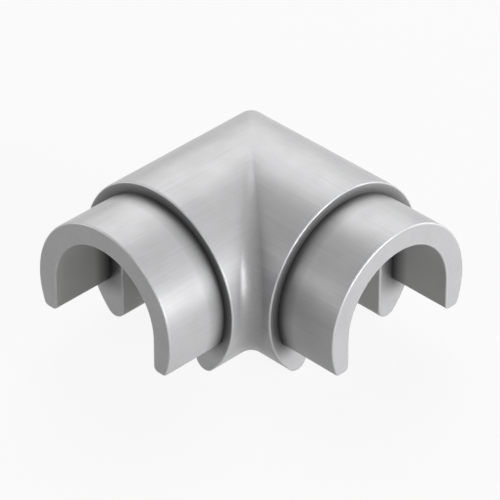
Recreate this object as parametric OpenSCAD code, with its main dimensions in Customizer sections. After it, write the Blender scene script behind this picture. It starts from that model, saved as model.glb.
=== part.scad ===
// Corner elbow for a round slotted cap rail.
// One casting: a 90 degree mitred corner, open underneath along its slot,
// with a C-shaped spigot at each end that plugs into a length of rail.
// The rail axes cross at the origin. One arm runs along +X, the other along -Y.

/* [Rail] */
// Outside diameter of the rail, which the corner carries on
rail_d = 48.3; // [47:0.1:60.3]
// Wall of the rail tube, which slides over the spigots
rail_wall = 2; // [1.5:0.1:2.5]
// Width of the slot in the rail, which the corner carries on
slot_w = 24; // [18:0.5:25]
// Wall of the channel folded into the rail's slot
channel_wall = 2; // [1:0.1:2.5]

/* [Corner] */
// Radius of the ball that rounds the mitre, on the outer ridge and in the inner crease
mitre_r = 4; // [1:0.25:6]
// Radius of the ball that rounds the mitre inside the slot
slot_mitre_r = 2; // [0.5:0.25:3]
// Straight length left beside the inner crease, before the end face
inner_land = 1.85; // [1:0.05:20]
// Radius of the rounded leg on each side of the slot
leg_r = 2.9; // [1.5:0.1:3.2]

/* [Spigots] */
// Length of each spigot past the corner's end face
spigot_len = 17; // [6:0.5:40]
// Gap all round between a spigot and the inside of the rail tube
tube_gap = 0.65; // [0.1:0.05:1]
// Gap between a spigot's legs and the rail's channel, on each side
channel_gap = 2; // [0.5:0.1:2.5]
// How far a spigot's legs reach below the rail axis
spigot_drop = 8.5; // [5:0.25:10]
// Radius of the lower corners of a spigot's legs
spigot_leg_r = 1.4; // [0.6:0.1:1.5]

/* [Edges] */
// Radius of the rounding round every end face
edge_r = 0.45; // [0.2:0.05:0.55]

/* [Hidden] */

rail_r = rail_d / 2;
slot_r = slot_w / 2;
// From the crossing of the axes to an end face of the corner
reach = rail_r + mitre_r + inner_land;
// Centre of a leg's rounding, which touches both the slot's wall and the outside
leg_u = slot_r + leg_r;
leg_z = -sqrt(pow(rail_r - leg_r, 2) - pow(leg_u, 2));
// Direction in which the outside ends and the rounding of a leg begins
leg_turn = atan2(leg_z, leg_u);

spigot_r = rail_r - rail_wall - tube_gap;
spigot_slot_r = slot_r + channel_wall + channel_gap;
// Length of spigot buried in the corner, so that the two are one solid
spigot_root = 4;
// How far a leg's outer corner would reach past the outside, so that the two cross at an edge
spigot_cross = 0.05;
// Spare length on shapes that only trim another
trim = 5;

// Facets of the corner. The odd count leaves no line at the very top, where the mitre fades,
// and the even one lets the end faces begin and end at the middle of a leg.
arc_steps = 59;
leg_steps = 10;
mitre_steps = 8;
edge_steps = 4;
$fn = 96;

cast_grey = [0.74, 0.74, 0.75];

// The section is a ring of lines that run along the arms. Each line has a place [u, z] seen
// along the arm (u is positive towards the outer side of the corner), the direction that its
// surface faces, and the radius that rounds it at the mitre.
function place(line) = line[0];
function facing(line) = line[1];
function rounding(line) = line[2];

function arc(centre, r, from, to, steps, inward = false, round_outer = 0, round_slot = 0) = [
    for (i = [0:steps])
        let (angle = from + (to - from) * i / steps, way = [cos(angle), sin(angle)])
        [centre + r * way, inward ? -way : way, centre[0] * way[0] < 0 ? round_slot : round_outer]
];

function without_first(lines) = [for (i = [1:len(lines) - 1]) lines[i]];
function without_last(lines) = [for (i = [0:len(lines) - 2]) lines[i]];

// Over the outside, round one leg, over the inside of the slot, and round the other leg
function corner_section() = concat(
    arc([0, 0], rail_r, leg_turn, 180 - leg_turn, arc_steps, round_outer = mitre_r),
    without_first(arc([-leg_u, leg_z], leg_r, 180 - leg_turn, 360, leg_steps,
        round_outer = mitre_r, round_slot = slot_mitre_r)),
    arc([0, 0], slot_r, 180, 0, arc_steps, inward = true, round_outer = slot_mitre_r),
    without_last(arc([leg_u, leg_z], leg_r, 180, 360 + leg_turn, leg_steps,
        round_outer = mitre_r, round_slot = slot_mitre_r))
);

// The same line of the section on the arm along +X and on the arm along -Y
function on_x_arm(along, p) = [along, p[0], p[1]];
function on_y_arm(along, p) = [-p[0], -along, p[1]];

// Rounded edge of an end face: step 0 lies on the face and the last step on the arm's surface
function edge_place(line, i) =
    let (angle = 90 * i / edge_steps)
    place(line) - edge_r * (1 - sin(angle)) * facing(line);
function edge_along(i) = reach - edge_r * (1 - cos(90 * i / edge_steps));

// Point i of a line's way round the mitre. A ball that touches both arms rolls along the crease:
// inside the metal where the line faces outwards, and outside it where the line faces inwards.
function mitre_point(line, i) =
    let (
        side = facing(line)[0] < 0 ? -1 : 1,
        ball = place(line) - side * rounding(line) * facing(line),
        centre = on_x_arm(-ball[0], ball),
        x_facing = on_x_arm(0, facing(line)),
        y_facing = on_y_arm(0, facing(line)),
        turn = acos(x_facing * y_facing),
        t = i / mitre_steps,
        way = (sin((1 - t) * turn) * x_facing + sin(t * turn) * y_facing) / sin(turn)
    )
    centre + side * rounding(line) * way;

// Every point of one line, from the end face of one arm to the end face of the other
function line_points(line) = concat(
    [for (i = [0:edge_steps]) on_x_arm(edge_along(i), edge_place(line, i))],
    [for (i = [0:mitre_steps]) mitre_point(line, i)],
    [for (i = [edge_steps:-1:0]) on_y_arm(edge_along(i), edge_place(line, i))]
);

module corner() {
    section = corner_section();
    rows = len(section);
    columns = 2 * edge_steps + mitre_steps + 3;
    function at(row, column) = ((row + rows) % rows) * columns + column;
    // The line across the metal from a line of the outside, on the wall of the slot
    function across(row) = 2 * arc_steps + leg_steps + 1 - row;
    points = [for (line = section) each line_points(line)];
    skin = [
        for (row = [0:rows - 1], column = [0:columns - 2])
            each [
                [at(row, column), at(row + 1, column), at(row + 1, column + 1)],
                [at(row, column), at(row + 1, column + 1), at(row, column + 1)]
            ]
    ];
    end_faces = [
        for (row = [-leg_steps / 2:arc_steps + leg_steps / 2 - 1])
            each [
                [for (r = [row + 1, row, across(row), across(row + 1)]) at(r, 0)],
                [for (r = [row, row + 1, across(row + 1), across(row)]) at(r, columns - 1)]
            ]
    ];
    polyhedron(points, concat(skin, end_faces));
}

// Turns a shape drawn upright, with its section flat on XY, to lie along +X
module along_x() {
    rotate([90, 0, 90]) children();
}

// A bar from root to tip with its tip corners rounded, to be revolved or extruded
module rounded_bar(inner, outer, round_inner = true) {
    root = reach - spigot_root;
    tip = reach + spigot_len;
    difference() {
        translate([inner, root]) square([outer - inner, tip - root]);
        translate([outer - edge_r, tip - edge_r]) difference() {
            square(edge_r + trim);
            circle(edge_r);
        }
        if (round_inner) translate([inner + edge_r, tip - edge_r]) difference() {
            translate([-edge_r - trim, 0]) square(edge_r + trim);
            circle(edge_r);
        }
    }
}

// The bar that is turned for a leg's lower corners and drawn out for its straight sides
module spigot_leg_bar() {
    rounded_bar(0, spigot_leg_r, round_inner = false);
}

// One leg, drawn on the side where u is positive, from level with the rail axis down to the foot
module spigot_leg() {
    corner_z = -spigot_drop + spigot_leg_r;
    inner_u = spigot_slot_r + spigot_leg_r;
    // To a thousandth, so that the pieces that end here meet exactly
    outer_u = round(1000 * sqrt(pow(spigot_r - spigot_leg_r + spigot_cross, 2)
        - pow(corner_z, 2))) / 1000;
    along_x() intersection() {
        rotate_extrude() rounded_bar(0, spigot_r, round_inner = false);
        union() {
            // Core, which the outside trims
            translate([0, 0, reach - spigot_root]) linear_extrude(spigot_root + spigot_len)
                polygon([
                    [inner_u, 0], [inner_u, corner_z], [outer_u, corner_z],
                    [2 * outer_u, 2 * corner_z], [spigot_r + trim, 0]
                ]);
            // Round the outer corner, along the foot, round the inner corner, up along the slot
            translate([outer_u, corner_z, 0]) rotate(-90)
                rotate_extrude(angle = 90) spigot_leg_bar();
            translate([outer_u, corner_z, 0]) rotate([90, 0, -90])
                linear_extrude(outer_u - inner_u) spigot_leg_bar();
            translate([inner_u, corner_z, 0]) rotate(180)
                rotate_extrude(angle = 90) spigot_leg_bar();
            translate([inner_u, corner_z, 0]) rotate([90, 0, 180])
                linear_extrude(-corner_z) spigot_leg_bar();
        }
    }
}

module spigot() {
    along_x() rotate_extrude(angle = 180) rounded_bar(spigot_slot_r, spigot_r);
    for (side = [0, 1]) mirror([0, side, 0]) spigot_leg();
}

module corner_elbow() {
    color(cast_grey) {
        corner();
        spigot();
        mirror([1, 1, 0]) spigot();
    }
}

corner_elbow();
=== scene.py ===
import math

import bmesh
import bpy
from mathutils import Matrix, Vector


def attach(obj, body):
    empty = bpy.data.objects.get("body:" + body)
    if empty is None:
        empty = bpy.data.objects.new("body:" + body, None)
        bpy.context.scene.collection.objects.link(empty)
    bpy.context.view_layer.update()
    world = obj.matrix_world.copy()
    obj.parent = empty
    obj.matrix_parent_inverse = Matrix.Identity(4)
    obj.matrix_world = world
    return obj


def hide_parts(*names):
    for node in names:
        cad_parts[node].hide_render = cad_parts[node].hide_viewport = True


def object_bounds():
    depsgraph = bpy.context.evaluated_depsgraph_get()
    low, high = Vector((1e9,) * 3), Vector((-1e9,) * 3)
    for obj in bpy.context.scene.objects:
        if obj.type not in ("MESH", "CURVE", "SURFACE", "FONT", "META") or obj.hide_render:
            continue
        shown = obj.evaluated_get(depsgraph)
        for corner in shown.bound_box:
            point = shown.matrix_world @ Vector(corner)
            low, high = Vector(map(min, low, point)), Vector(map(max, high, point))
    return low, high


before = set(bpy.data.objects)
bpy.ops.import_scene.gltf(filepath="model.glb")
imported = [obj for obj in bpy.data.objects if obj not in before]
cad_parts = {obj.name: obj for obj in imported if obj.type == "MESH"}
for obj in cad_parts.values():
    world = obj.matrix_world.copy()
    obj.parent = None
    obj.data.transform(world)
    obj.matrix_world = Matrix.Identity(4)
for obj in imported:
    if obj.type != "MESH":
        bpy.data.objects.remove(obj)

cad_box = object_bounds()

# Camera. It looks down on the inner side of the corner, straight in front of the split between
# the two arms, from nearly a metre away through a long lens.
TILT_DOWN = math.radians(35.01)
CAMERA_DISTANCE = 0.9078
CAMERA_REACH = 20
LENS = 281.5
SENSOR_WIDTH = 36
# From the crossing of the arms' axes to the point in the middle of the picture
AIM_RIGHT = -0.0002625
AIM_UP = -0.005535

toward_camera = Vector((math.cos(TILT_DOWN) * math.sqrt(0.5),
                        -math.cos(TILT_DOWN) * math.sqrt(0.5),
                        math.sin(TILT_DOWN)))
camera_right = Vector((math.sqrt(0.5), math.sqrt(0.5), 0))
camera_up = toward_camera.cross(camera_right)
aim = camera_right * AIM_RIGHT + camera_up * AIM_UP

camera_data = bpy.data.cameras.new("camera")
camera_data.lens = LENS
camera_data.sensor_width = SENSOR_WIDTH
camera_data.sensor_fit = "HORIZONTAL"
camera_data.clip_end = CAMERA_REACH
camera = bpy.data.objects.new("camera", camera_data)
camera.matrix_world = Matrix.Translation(aim + toward_camera * CAMERA_DISTANCE) @ Matrix(
    (camera_right, camera_up, toward_camera)).transposed().to_4x4()
bpy.context.scene.collection.objects.link(camera)
bpy.context.scene.camera = camera

# Corner elbow. One lost-wax casting in stainless steel: a mitred corner that carries on the
# round, slotted cap rail, with a C-shaped spigot on each end for the rail tube to slide over.
# Its outside and its end faces are linished to a satin, and its slot and bores stay as cast.
RAIL_R = 0.02415
SLOT_R = 0.012
LEG_R = 0.0029
MITRE_R = 0.004
SLOT_MITRE_R = 0.002
REACH = 0.030
SPIGOT_R = 0.0215
SPIGOT_SLOT_R = 0.016
SPIGOT_LEN = 0.017
SPIGOT_DROP = 0.0085
SPIGOT_LEG_R = 0.0014
EDGE_R = 0.00045
# Facets of each rounding
RAIL_STEPS = 109
SLOT_STEPS = 45
LEG_STEPS = 12
MITRE_STEPS = 8
SPIGOT_STEPS = 89
SPIGOT_SLOT_STEPS = 61
SPIGOT_LEG_STEPS = 8
EDGE_STEPS = 5
# Vertices closer than this are the same
MERGE_DIST = 1e-6

# The arm that is drawn runs along +X, and the other one along -Y. A section across it has u
# towards the outer side of the corner, along +Y, and z up.
elbow = bmesh.new()
# Each vertex keeps where its line of the section runs, and the way the surface faces there
place = elbow.verts.layers.float_vector.new("place")
facing = elbow.verts.layers.float_vector.new("facing")
# The belt doesn't reach the slot and the bores, and handling rubs the ends' edges bright
linished = elbow.verts.layers.float.new("linished")
rubbed = elbow.verts.layers.float.new("rubbed")


def draw_arc(tip, centre, turn, steps):
    """Carries a section on from the vertex tip, round centre, and returns its new end."""
    centre = Vector((0, *centre))
    side = 1 if (tip.co - centre).dot(tip[facing]) > 0 else -1
    drawn = bmesh.ops.spin(elbow, geom=[tip], cent=centre, axis=(1, 0, 0), angle=turn,
                           steps=steps)
    end = next(v for v in drawn["geom_last"] if isinstance(v, bmesh.types.BMVert))
    # Back along the new vertices, to where the arc began
    vert, edge = end, end.link_edges[0]
    while vert is not tip:
        vert[facing] = side * (vert.co - centre).normalized()
        vert = edge.other_vert(vert)
        edge = next((e for e in vert.link_edges if e is not edge), edge)
    return end


def draw_line(tip, u, z):
    """Carries a section straight on from the vertex tip to (u, z), and returns its new end."""
    end = bmesh.ops.extrude_vert_indiv(elbow, verts=[tip])["verts"][0]
    end.co = (0, u, z)
    return end


def close_section():
    """Joins the two ends of the section just drawn, and returns its ring of edges."""
    loose = [v for v in elbow.verts if not v.link_faces]
    bmesh.ops.remove_doubles(elbow, verts=loose, dist=MERGE_DIST)
    for vert in elbow.verts:
        if not vert.link_faces:
            vert[place] = vert.co
            # The belt reaches what faces away from the arm's axis
            vert[linished] = float(vert.co.dot(vert[facing]) > 0)
    return [e for e in elbow.edges if not e.link_faces]


def move_ring(ring, position):
    """Puts each vertex of a ring of edges at its position."""
    for vert in {v for e in ring for v in e.verts}:
        vert.co = position(vert)


def next_ring(ring, position, wear=0.0):
    """Extrudes a ring of edges to a new ring at its position, and returns that."""
    made = bmesh.ops.extrude_edge_only(elbow, edges=ring)["geom"]
    verts = {v for v in made if isinstance(v, bmesh.types.BMVert)}
    for vert in verts:
        vert.co = position(vert)
        vert[rubbed] = wear
    return [e for e in made if isinstance(e, bmesh.types.BMEdge) and set(e.verts) <= verts]


def across_arm(along, drawn_in=0.0):
    """The section square across the arm, drawn in from its surface."""
    return lambda vert: Vector((along, 0, 0)) + vert[place] - drawn_in * vert[facing]


def round_mitre(share):
    """The section where a ball that touches both arms has rolled a share of the way round."""
    def position(vert):
        (_, u, z), (_, face_u, face_z) = vert[place], vert[facing]
        radius = SLOT_MITRE_R if u * face_u < 0 else MITRE_R
        # The ball rolls inside the metal along a ridge, and outside it along a crease
        if face_u < 0:
            radius = -radius
        ball_u, ball_z = u - radius * face_u, z - radius * face_z
        way = Vector((0, face_u, face_z)).slerp(Vector((-face_u, 0, face_z)), share)
        return Vector((-ball_u, ball_u, ball_z)) + radius * way
    return position


def round_end(ring, end):
    """Rounds the arm over to the plane of its end, and returns the ring of edges there."""
    for step in range(EDGE_STEPS + 1):
        turn = math.radians(90) * step / EDGE_STEPS
        ring = next_ring(ring, across_arm(end - EDGE_R * (1 - math.sin(turn)),
                                          EDGE_R * (1 - math.cos(turn))),
                         wear=math.sin(2 * turn))
    return ring


# Section of the arms: over the outside, round one leg, up and over the slot, round the other
leg_u = SLOT_R + LEG_R
leg_z = -math.sqrt((RAIL_R - LEG_R) ** 2 - leg_u ** 2)
leg_turn = math.atan2(leg_z, leg_u)
tip = elbow.verts.new((0, RAIL_R * math.cos(leg_turn), RAIL_R * math.sin(leg_turn)))
tip[facing] = tip.co.normalized()
tip = draw_arc(tip, (0, 0), math.pi - 2 * leg_turn, RAIL_STEPS)
tip = draw_arc(tip, (-leg_u, leg_z), math.pi + leg_turn, LEG_STEPS)
tip = draw_line(tip, -SLOT_R, 0)
tip = draw_arc(tip, (0, 0), -math.pi, SLOT_STEPS)
tip = draw_line(tip, SLOT_R, leg_z)
tip = draw_arc(tip, (leg_u, leg_z), math.pi + leg_turn, LEG_STEPS)
ring = close_section()

# Half of the mitre, from the plane between the two arms, and the arm up to its end
move_ring(ring, round_mitre(0.5))
for step in range(1, MITRE_STEPS + 1):
    ring = next_ring(ring, round_mitre(0.5 - 0.5 * step / MITRE_STEPS))
shoulder_rim = round_end(ring, REACH)

# Section of the spigot, which is drawn the same way round, with a flat foot on each leg
corner_z = -SPIGOT_DROP + SPIGOT_LEG_R
outer_u = math.sqrt((SPIGOT_R - SPIGOT_LEG_R) ** 2 - corner_z ** 2)
inner_u = SPIGOT_SLOT_R + SPIGOT_LEG_R
corner_turn = math.atan2(corner_z, outer_u)
tip = elbow.verts.new((0, SPIGOT_R * math.cos(corner_turn), SPIGOT_R * math.sin(corner_turn)))
tip[facing] = tip.co.normalized()
tip = draw_arc(tip, (0, 0), math.pi - 2 * corner_turn, SPIGOT_STEPS)
tip = draw_arc(tip, (-outer_u, corner_z), math.pi / 2 + corner_turn, SPIGOT_LEG_STEPS)
tip = draw_line(tip, -inner_u, -SPIGOT_DROP)
tip = draw_arc(tip, (-inner_u, corner_z), math.pi / 2, SPIGOT_LEG_STEPS)
tip = draw_line(tip, -SPIGOT_SLOT_R, 0)
tip = draw_arc(tip, (0, 0), -math.pi, SPIGOT_SLOT_STEPS)
tip = draw_line(tip, SPIGOT_SLOT_R, corner_z)
tip = draw_arc(tip, (inner_u, corner_z), math.pi / 2, SPIGOT_LEG_STEPS)
tip = draw_line(tip, outer_u, -SPIGOT_DROP)
tip = draw_arc(tip, (outer_u, corner_z), math.pi / 2 + corner_turn, SPIGOT_LEG_STEPS)
ring = close_section()

# The shoulder that the rail butts against, with the spigot standing square on it. The extra
# ring keeps the shoulder's satin from running on into the bore.
move_ring(ring, across_arm(REACH))
bmesh.ops.triangle_fill(elbow, edges=shoulder_rim + ring, use_beauty=True, normal=(1, 0, 0))
for edge in ring:
    edge.smooth = False
ring = next_ring(ring, across_arm(REACH + EDGE_R))
ring = round_end(ring, REACH + SPIGOT_LEN)
bmesh.ops.contextual_create(elbow, geom=ring)

# The belt dresses the shoulders and the spigots' end faces too
for vert in elbow.verts:
    if min(abs(vert.co.x - REACH), abs(vert.co.x - REACH - SPIGOT_LEN)) < MERGE_DIST:
        vert[linished] = 1.0

# The other arm is the same, mirrored through the plane between the two
bmesh.ops.mirror(elbow, geom=elbow.verts[:] + elbow.edges[:] + elbow.faces[:],
                 matrix=Matrix.Rotation(math.radians(-45), 4, "Z"), merge_dist=MERGE_DIST,
                 axis="X")
bmesh.ops.remove_doubles(elbow, verts=elbow.verts, dist=MERGE_DIST)
bmesh.ops.recalc_face_normals(elbow, faces=elbow.faces)
for face in elbow.faces:
    face.smooth = True
elbow_mesh = bpy.data.meshes.new("elbow_casting")
elbow.to_mesh(elbow_mesh)
elbow.free()
elbow_casting = bpy.data.objects.new("elbow_casting", elbow_mesh)
bpy.context.scene.collection.objects.link(elbow_casting)
flat_faces = elbow_casting.modifiers.new("flat_faces", "WEIGHTED_NORMAL")
flat_faces.keep_sharp = True

# Satin of the casting: the belt's grain along each arm on the outside, the pebbled skin of the
# casting inside, painted shade that darkens the colour in the recesses, and a rubbed edge
# round each end
CLEAN_STEEL = (0.61, 0.61, 0.62, 1)
DULL_STEEL = (0.54, 0.54, 0.55, 1)
CAST_SKIN = (0.63, 0.625, 0.62, 1)
RUBBED_STEEL = (0.82, 0.82, 0.83, 1)
METAL_SHARE = 0.2
CLEAN_ROUGHNESS = 0.34
DULL_ROUGHNESS = 0.44
SKIN_ROUGHNESS = 0.6
RUBBED_ROUGHNESS = 0.28
# How finely each pattern repeats, in patches to the metre
GRAIN_ALONG = 60
GRAIN_ACROSS = 2600
MOTTLE_SCALE = 130
PEBBLE_SCALE = 1100
# Mottle times grain where the steel begins to dull, and where it is as dull as it gets
DULL_BEGINS = 0.12
DULL_FULL = 0.4
# Mottle where the rubbing is at its faintest and where it is full
RUB_FAINT = 0.35
RUB_FULL = 0.6
FAINTEST_RUB = 0.45
# Strength and height of the bumps
SKIN_BUMP = 0.5
BELTED_SKIN_BUMP = 0.05
PEBBLE_HEIGHT = 0.00008
GRAIN_BUMP = 0.12
GRAIN_HEIGHT = 0.00003
# Painted shade in the recesses: how far off metal still darkens the colour, and how sharply
PAINTED_SHADE_REACH = 0.005
PAINTED_SHADE_POWER = 3.0
PAINTED_SHADE_SAMPLES = 16


def add_node(tree, kind, inputs, output=None, **settings):
    """Adds a node. Its inputs, by name or number, are values or other nodes' outputs."""
    node = tree.nodes.new("ShaderNode" + kind)
    for name, value in settings.items():
        setattr(node, name, value)
    sockets = [socket for socket in node.inputs if socket.enabled]
    for key, value in inputs.items():
        socket = sockets[key] if isinstance(key, int) else next(
            s for s in sockets if s.name == key)
        if isinstance(value, bpy.types.NodeSocket):
            tree.links.new(value, socket)
        else:
            socket.default_value = value
    return next((s for s in node.outputs if s.enabled and output in (None, s.name)), None)


satin = bpy.data.materials.new("satin_cast_steel")
satin.use_nodes = True
steel = satin.node_tree


def steel_noise(where, scale, detail, roughness):
    """A cloudy pattern in the steel."""
    return add_node(steel, "TexNoise", {
        "Vector": where, "Scale": scale, "Detail": detail, "Roughness": roughness}, "Fac")


elbow_place = add_node(steel, "TexCoord", {}, "Object")
belt_reach = add_node(steel, "Attribute", {}, "Fac", attribute_name="linished")
edge_wear = add_node(steel, "Attribute", {}, "Fac", attribute_name="rubbed")

from_mitre = add_node(steel, "VectorMath", {0: elbow_place, 1: (1, 1, 0)}, "Value",
                      operation="DOT_PRODUCT")
on_x_arm = add_node(steel, "Math", {0: from_mitre, 1: 0.0}, operation="GREATER_THAN")
along_x = add_node(steel, "Mapping", {
    "Vector": elbow_place, "Scale": (GRAIN_ALONG, GRAIN_ACROSS, GRAIN_ACROSS)})
along_y = add_node(steel, "Mapping", {
    "Vector": elbow_place, "Scale": (GRAIN_ACROSS, GRAIN_ALONG, GRAIN_ACROSS)})
grain_place = add_node(steel, "Mix", {"Factor": on_x_arm, "A": along_y, "B": along_x},
                       data_type="VECTOR")
grain = steel_noise(grain_place, 1.0, detail=3.0, roughness=0.6)
mottle = steel_noise(elbow_place, MOTTLE_SCALE, detail=4.0, roughness=0.55)
pebbles = steel_noise(elbow_place, PEBBLE_SCALE, detail=2.0, roughness=0.5)

dullness = add_node(steel, "Math", {0: mottle, 1: grain}, operation="MULTIPLY")
dull_share = add_node(steel, "MapRange", {
    "Value": dullness, "From Min": DULL_BEGINS, "From Max": DULL_FULL})
belted = add_node(steel, "Mix", {"Factor": dull_share, "A": CLEAN_STEEL, "B": DULL_STEEL},
                  data_type="RGBA")
skinned = add_node(steel, "Mix", {"Factor": belt_reach, "A": CAST_SKIN, "B": belted},
                   data_type="RGBA")
patchy = add_node(steel, "MapRange", {
    "Value": mottle, "From Min": RUB_FAINT, "From Max": RUB_FULL, "To Min": FAINTEST_RUB})
rub_share = add_node(steel, "Math", {0: edge_wear, 1: patchy}, operation="MULTIPLY")
worn = add_node(steel, "Mix", {"Factor": rub_share, "A": skinned, "B": RUBBED_STEEL},
                data_type="RGBA")
# Painted shade: ambient occlusion multiplies the steel's colour darker in the recesses and
# corners
open_share = add_node(steel, "AmbientOcclusion", {"Distance": PAINTED_SHADE_REACH}, "AO",
                      only_local=True, samples=PAINTED_SHADE_SAMPLES)
painted_recess_shade = add_node(steel, "Math", {0: open_share, 1: PAINTED_SHADE_POWER}, operation="POWER")
steel_colour_and_painted_shade = add_node(steel, "Mix", {"Factor": 1.0, "A": worn, "B": painted_recess_shade},
                        data_type="RGBA", blend_type="MULTIPLY")

belt_roughness = add_node(steel, "Mix", {
    "Factor": dull_share, "A": CLEAN_ROUGHNESS, "B": DULL_ROUGHNESS}, data_type="FLOAT")
unworn_roughness = add_node(steel, "Mix", {
    "Factor": belt_reach, "A": SKIN_ROUGHNESS, "B": belt_roughness}, data_type="FLOAT")
steel_roughness = add_node(steel, "Mix", {
    "Factor": rub_share, "A": unworn_roughness, "B": RUBBED_ROUGHNESS}, data_type="FLOAT")

pebble_strength = add_node(steel, "Mix", {
    "Factor": belt_reach, "A": SKIN_BUMP, "B": BELTED_SKIN_BUMP}, data_type="FLOAT")
pebble_bump = add_node(steel, "Bump", {
    "Strength": pebble_strength, "Distance": PEBBLE_HEIGHT, "Height": pebbles})
grain_bump = add_node(steel, "Bump", {
    "Strength": GRAIN_BUMP, "Distance": GRAIN_HEIGHT, "Height": grain, "Normal": pebble_bump})

shader = steel.nodes["Principled BSDF"]
shader.inputs["Metallic"].default_value = METAL_SHARE
steel.links.new(steel_colour_and_painted_shade, shader.inputs["Base Color"])
steel.links.new(steel_roughness, shader.inputs["Roughness"])
steel.links.new(grain_bump, shader.inputs["Normal"])
elbow_mesh.materials.append(satin)
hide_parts("corner_elbow")
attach(elbow_casting, "root")

# Paper sweep that the elbow stands on, on the tips of its legs. To the camera, and to the
# reflections in the metal, it is a white backdrop that keeps a faint shadow.
FLOOR_SIZE = 3
FLOOR_WHITE_SHARE = 0.9
PAPER_TONE_LIT = 0.08
PAPER_TONE_SEEN = 0.95

sweep = bmesh.new()
bmesh.ops.create_grid(sweep, x_segments=1, y_segments=1, size=FLOOR_SIZE)
bmesh.ops.translate(sweep, verts=sweep.verts, vec=(0, 0, cad_box[0][2]))
floor_mesh = bpy.data.meshes.new("floor")
sweep.to_mesh(floor_mesh)
sweep.free()
floor = bpy.data.objects.new("floor", floor_mesh)
bpy.context.scene.collection.objects.link(floor)


def seen_share(tree):
    """1 for the rays that see the backdrop, straight or in gloss or glass, and 0 for light."""
    seen = 0.0
    for ray in ("Is Camera Ray", "Is Glossy Ray", "Is Transmission Ray"):
        this_ray = add_node(tree, "LightPath", {}, ray)
        seen = add_node(tree, "Math", {0: seen, 1: this_ray}, operation="MAXIMUM")
    return seen


paper = bpy.data.materials.new("white_paper")
paper.use_nodes = True
paper_tree = paper.node_tree
paper_tree.nodes.clear()
paper_seen = seen_share(paper_tree)
paper_tone = add_node(paper_tree, "MapRange", {
    "Value": paper_seen, "To Min": PAPER_TONE_LIT, "To Max": PAPER_TONE_SEEN})
matt = add_node(paper_tree, "BsdfDiffuse", {"Color": paper_tone})
white = add_node(paper_tree, "Emission", {"Color": (1, 1, 1, 1), "Strength": 1.0})
white_share = add_node(paper_tree, "Math", {0: paper_seen, 1: FLOOR_WHITE_SHARE},
                       operation="MULTIPLY")
backdrop = add_node(paper_tree, "MixShader", {0: white_share, 1: matt, 2: white})
add_node(paper_tree, "OutputMaterial", {"Surface": backdrop})
floor_mesh.materials.append(paper)

# Studio light. Half-metre softboxes stand low on both sides of the elbow, and two more hang
# behind it, one above the other. The dim world fills the shadows, and looks white to the
# camera and in the metal.
WORLD_LIGHT = 0.1
SOFTBOX_SIZE = 0.5
SOFTBOX_DISTANCE = 0.8

world = bpy.data.worlds.new("studio")
bpy.context.scene.world = world
world.use_nodes = True
world_strength = add_node(world.node_tree, "MapRange", {
    "Value": seen_share(world.node_tree), "To Min": WORLD_LIGHT, "To Max": 1.0})
backdrop_light = world.node_tree.nodes["Background"]
backdrop_light.inputs["Color"].default_value = (1, 1, 1, 1)
world.node_tree.links.new(world_strength, backdrop_light.inputs["Strength"])


def softbox(name, azimuth, elevation, power):
    """A square area light that faces the elbow from an azimuth and elevation in degrees."""
    lamp = bpy.data.lights.new(name, "AREA")
    lamp.shape = "SQUARE"
    lamp.size = SOFTBOX_SIZE
    lamp.energy = power
    turn, tilt = math.radians(azimuth), math.radians(elevation)
    way = Vector((math.sin(turn) * math.cos(tilt), -math.cos(turn) * math.cos(tilt),
                  math.sin(tilt)))
    box = bpy.data.objects.new(name, lamp)
    box.matrix_world = Matrix.Translation(way * SOFTBOX_DISTANCE) @ way.to_track_quat(
        "Z", "Y").to_matrix().to_4x4()
    bpy.context.scene.collection.objects.link(box)


softbox("right_rear", azimuth=150, elevation=6, power=1.6)
softbox("right", azimuth=100, elevation=6, power=6.4)
softbox("right_front", azimuth=75, elevation=6, power=1.0)
softbox("left", azimuth=310, elevation=6, power=2.4)
softbox("rear", azimuth=225, elevation=28, power=1.2)
softbox("rear_top", azimuth=225, elevation=55, power=1.5)

bpy.context.scene.view_settings.view_transform = "Standard"
